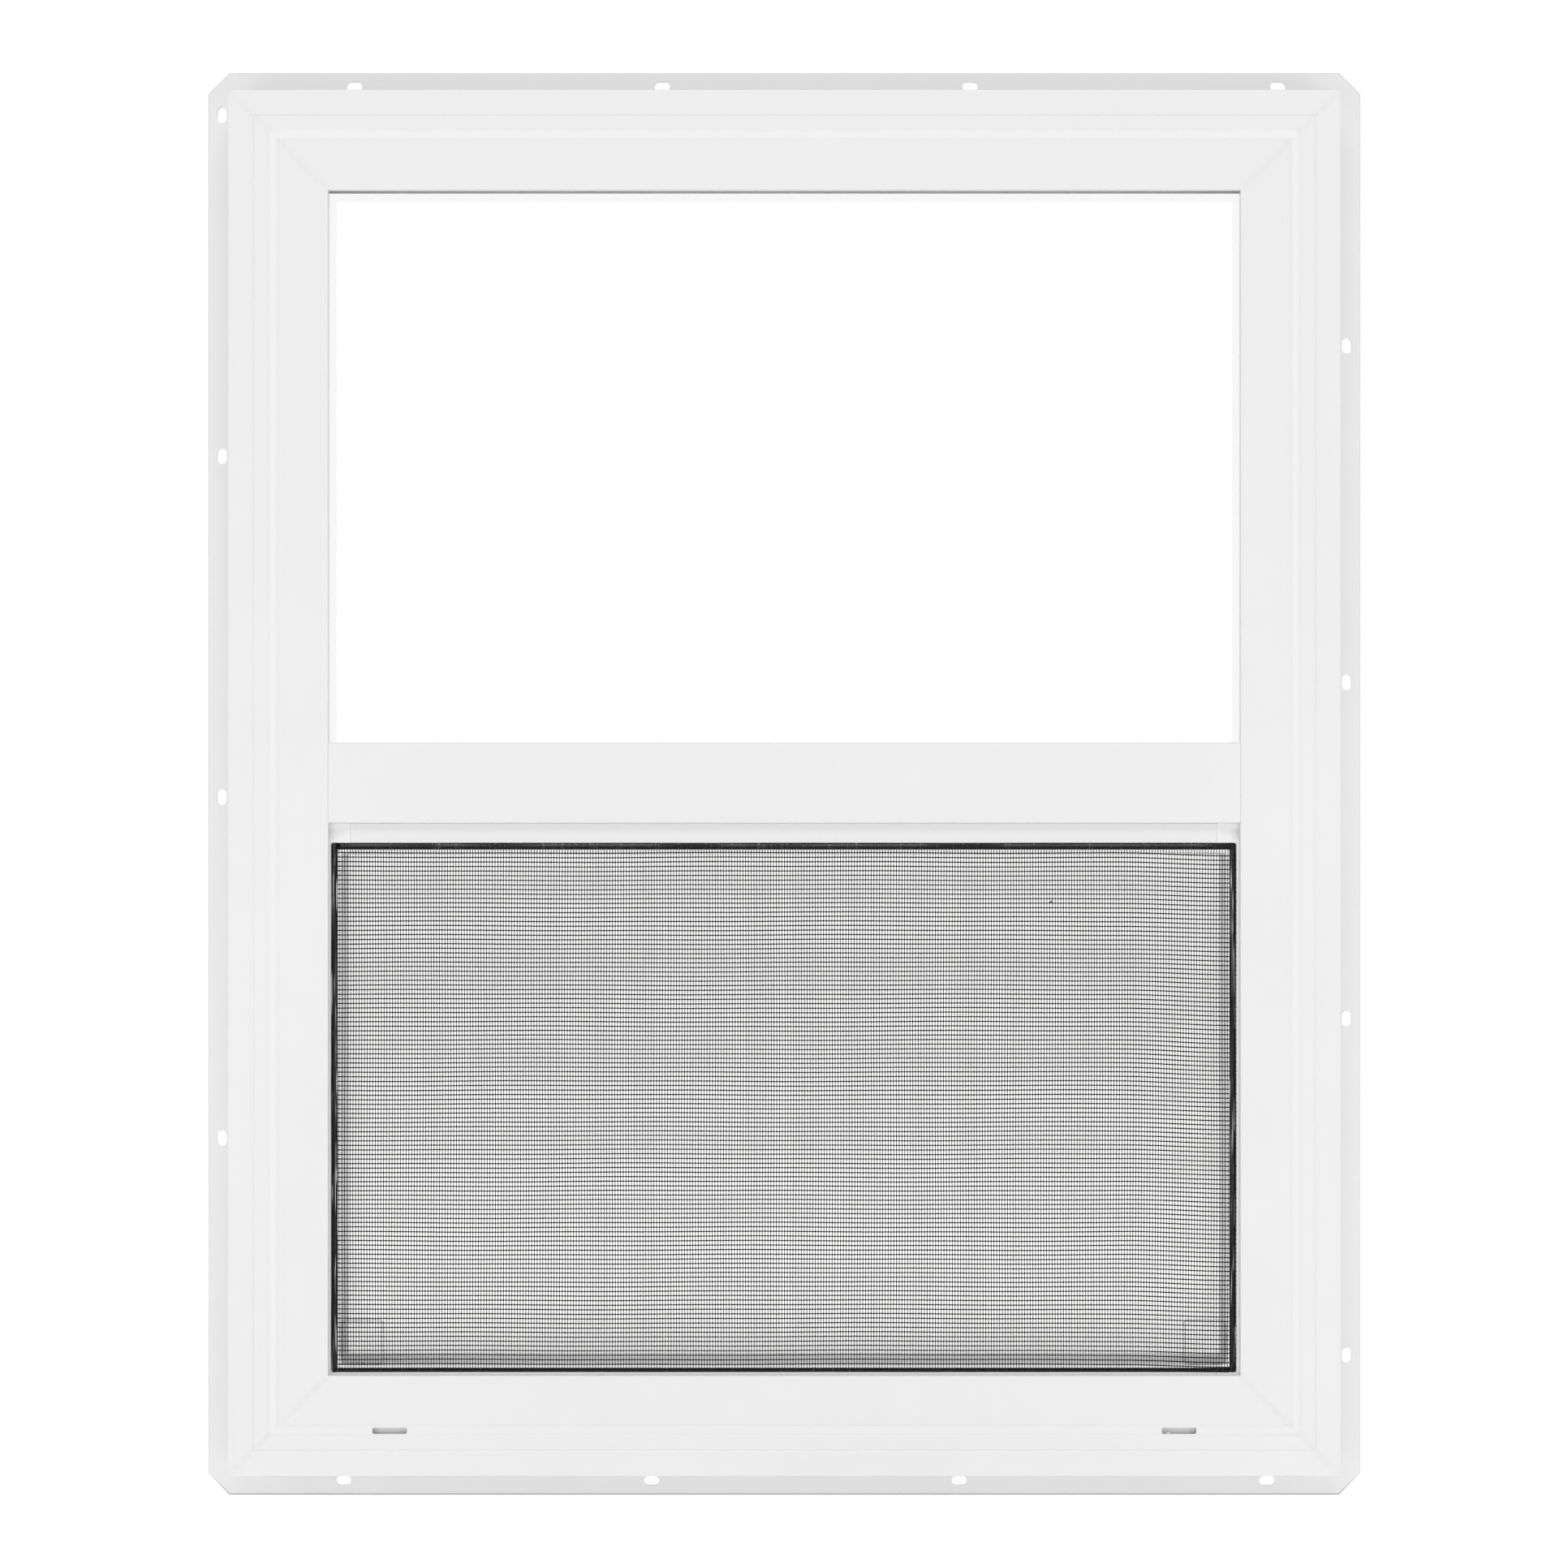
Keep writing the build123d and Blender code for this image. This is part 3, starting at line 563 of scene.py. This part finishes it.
def threadKnots(name, rows):
    # a drop of coating at each crossing: eight faces between the six ends of its width, height and thickness
    heights = rowHeights()[rows, None]
    x = columnPlace(columnNumbers()[None], heights)
    z = heights + rowDrop(x, np.arange(len(rowHeights()))[rows, None])
    middle = np.stack((x, np.full_like(x, meshY), z), axis=-1).reshape(-1, 1, 3)
    size = np.array((weave["knotWide"], weave["knotThick"], weave["knotHigh"])) / 2
    points = middle + np.concatenate((np.diag(size), -np.diag(size)))[None]
    corner = np.array(((2, 4, 0), (1, 2, 0), (5, 1, 0), (4, 5, 0), (4, 2, 3), (2, 1, 3), (1, 5, 3), (5, 4, 3)))
    faces = (np.arange(len(points))[:, None, None] * 6 + corner).reshape(-1, 3).tolist()
    return finishPiece(name, points, faces, coatedFibre, ["screen_mesh"])


def threadStubs():
    # the level threads' cut ends, straight along x, just past the right cord
    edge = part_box("screen_spline_right")[1].x
    heights = rowHeights()
    row = np.arange(len(heights))
    z = heights + rowDrop(np.full(len(heights), edge), row)
    reach = weave["stub"] * np.sin(row * weave["stubStep"])
    x = np.stack((np.full(len(heights), edge - 2 * weave["stub"]), edge + reach), axis=1)
    y = np.full_like(x, meshY)
    path = np.stack((x, y, np.repeat(z[:, None], 2, axis=1)), axis=-1)
    profile = threadProfile(weave["levelWide"], weave["levelThick"])
    points = carryProfile(path, upward, outdoors, profile)
    return finishPiece("meshThreadStubs", points, tubeFaces(*points.shape[:3]), coatedFibre)


levelThreads()
uprightThreads()
halfway = len(rowHeights()) // 2
threadKnots("meshKnotsLower", slice(0, halfway))
threadKnots("meshKnotsUpper", slice(halfway, None))
threadStubs()
print("mesh woven")

# Spline: black cord pressed into the grooves of the four bars, six flat sides with a fine rib on each edge,
# twisted a little as it was rolled in; the upright cords run the whole height, the level ones butt against them
spline = {
    "ribHalf": 8, "ribRise": 0.07,  # half a rib's width in degrees, and its height
    "angles": (-30, -22, -16, -8, 0, 8, 16, 22),  # points from one rib to the next, in degrees
    "stationGap": 2.5 * mm,
    "lean": -5, "twist": 3.5,  # degrees
    "twistLengths": (163 * mm, 74 * mm), "quickShare": 0.7,
    "cornerRadius": 1.5 * mm,
    "sides": {  # run, across, which way is outwards, and where the twist starts
        "left": (2, 0, -1, 0.4), "right": (2, 0, 1, 2.6), "top": (0, 2, 1, 1.1), "bottom": (0, 2, -1, 4.2),
    },
}


def splineCord(side):
    # at angle a from the middle of one of six flat sides: R = cos 30 / cos a, raised at the rib; the point lies
    # at (half width * R cos b, half depth * R sin b), where b is a, the side's own angle and the twist together
    run, across, outwards, seed = spline["sides"][side]
    cordLow, cordHigh = (np.array(corner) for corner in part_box(f"screen_spline_{side}"))
    middle, half = (cordLow + cordHigh) / 2, (cordHigh - cordLow) / 2
    if run == 0:
        sideLow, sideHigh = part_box("screen_spline_left")
        half[run] -= sideHigh.x - sideLow.x
    stations = int(2 * half[run] / spline["stationGap"])
    t = np.linspace(-1, 1, stations)[:, None]
    a = np.tile(np.radians(spline["angles"]), 6)[None]
    own = np.repeat(np.radians(np.arange(6) * 60), len(spline["angles"]))[None]
    slow, quick = spline["twistLengths"]
    along = t * half[run]
    turn = np.sin(2 * np.pi * along / slow + seed)
    turn = turn + spline["quickShare"] * np.sin(2 * np.pi * along / quick + 2 * seed)
    b = a + own + np.radians(spline["lean"] + spline["twist"] * turn)
    rib = np.clip(1 - (np.radians(30) - np.abs(a)) / np.radians(spline["ribHalf"]), 0, 1)
    reach = np.cos(np.radians(30)) / np.cos(a) * (1 - spline["ribRise"]) + spline["ribRise"] * rib
    wide = np.clip(reach * np.cos(b) / np.cos(np.radians(30)), -1, 1) * half[across]
    radius = spline["cornerRadius"]
    fromEdge = half[across] - wide
    rounded = radius - np.sqrt(radius ** 2 - np.clip(radius - fromEdge, 0, radius) ** 2)
    points = np.empty((stations, a.size, 3))
    points[..., run] = middle[run] + t * (half[run] - rounded * (run == 2))
    points[..., across] = middle[across] + outwards * wide
    points[..., 1] = middle[1] + half[1] * reach * np.sin(b)
    faces = tubeFaces(1, stations, a.size)
    if (outwards > 0) != (run == 2):
        faces = [face[::-1] for face in faces]
    name = f"spline{side.capitalize()}"
    finish = ribbedCord if run == 2 else pressedCord
    return finishPiece(name, points, faces, finish, [f"screen_spline_{side}"])


for side in spline["sides"]:
    splineCord(side)
print("spline pressed in")

# Small things: a slub in the mesh, a burr left in the right weep slot, and the lock's painted screws
slub = {"middle": (146.7 * mm, 322.7 * mm), "half": (0.8 * mm, 0.5 * mm, 0.45 * mm), "slant": 0.5}
burr = {"middle": (210.6 * mm, 31.3 * mm), "half": (1.1 * mm, 0.5 * mm, 0.4 * mm), "slant": 0.1}
lumpGrid = {"rings": 9, "sides": 12, "endGap": 0.05}
screw = {
    "radius": 2.7 * mm, "height": 1.0 * mm, "recess": 0.6 * mm,
    "arm": 0.16, "reach": 0.55, "fade": 0.1,  # of the radius
    "rings": 16, "sides": 48, "hub": 0.04,
    "lockX": -24 * mm, "keeperX": 18 * mm, "keeperFoot": 2 * mm,
}


def lump(name, size, y, material):
    # an egg: (half * cos u, half * sin u cos v, half * sin u sin v), rising along its length by the slant
    rings, sides, endGap = lumpGrid["rings"], lumpGrid["sides"], lumpGrid["endGap"]
    u = np.linspace(np.pi - endGap, endGap, rings)[:, None]
    v = np.linspace(0, 2 * np.pi, sides, endpoint=False)[None]
    along, deep, tall = size["half"]
    x = along * np.cos(u) + 0 * v
    y0, z0 = deep * np.sin(u) * np.cos(v), tall * np.sin(u) * np.sin(v) + size["slant"] * x
    points = np.stack((x, y0, z0), axis=-1)
    points += np.array((size["middle"][0], y, size["middle"][1]))
    return finishPiece(name, points, tubeFaces(1, rings, sides), material)


def screwHeads():
    # a dome of height h (1 - r^2) with a cross recess, whose depth fades with the distance from its nearer arm
    lockLow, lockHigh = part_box("sash_lock_base")
    keepLow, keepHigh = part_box("sash_lock_keeper")
    lockY, keepY = (lockLow.y + lockHigh.y) / 2, (keepLow.y + keepHigh.y) / 2
    footTop = keepLow.z + screw["keeperFoot"]
    keeperX = screw["keeperX"]
    places = np.array((
        (screw["lockX"], lockY, lockHigh.z), (-keeperX, keepY, footTop), (keeperX, keepY, footTop),
    ))
    r = np.linspace(1, screw["hub"], screw["rings"])[:, None]
    a = np.linspace(0, 2 * np.pi, screw["sides"], endpoint=False)[None]
    x, y = r * np.cos(a), r * np.sin(a)
    arm = np.clip(2 - np.minimum(np.abs(x), np.abs(y)) / screw["arm"] * 2, 0, 1)
    arm = arm * np.clip((screw["reach"] - r) / screw["fade"], 0, 1)
    z = screw["height"] * (1 - r ** 2) - screw["recess"] * arm
    head = np.stack((x * screw["radius"], y * screw["radius"], z), axis=-1)
    points = places[:, None, None] + head
    faces = tubeFaces(*points.shape[:3])
    return finishPiece("lockScrewHeads", points, faces, castEnamel)


lump("meshSlub", slub, meshY, coatedFibre)
lump("weepBurr", burr, faceY + 1.1 * mm, plainLevel)
screwHeads()
print("small things added")

# In the photo the sash behind the screen is as bright as if the screen gave no shade, so it gives none here
for piece in scene.objects:
    if piece.name.startswith(("mesh", "spline", "screen_bar", "screen_corner")):
        piece.visible_shadow = False
        piece.visible_diffuse = False

scene.view_settings.view_transform = "Standard"
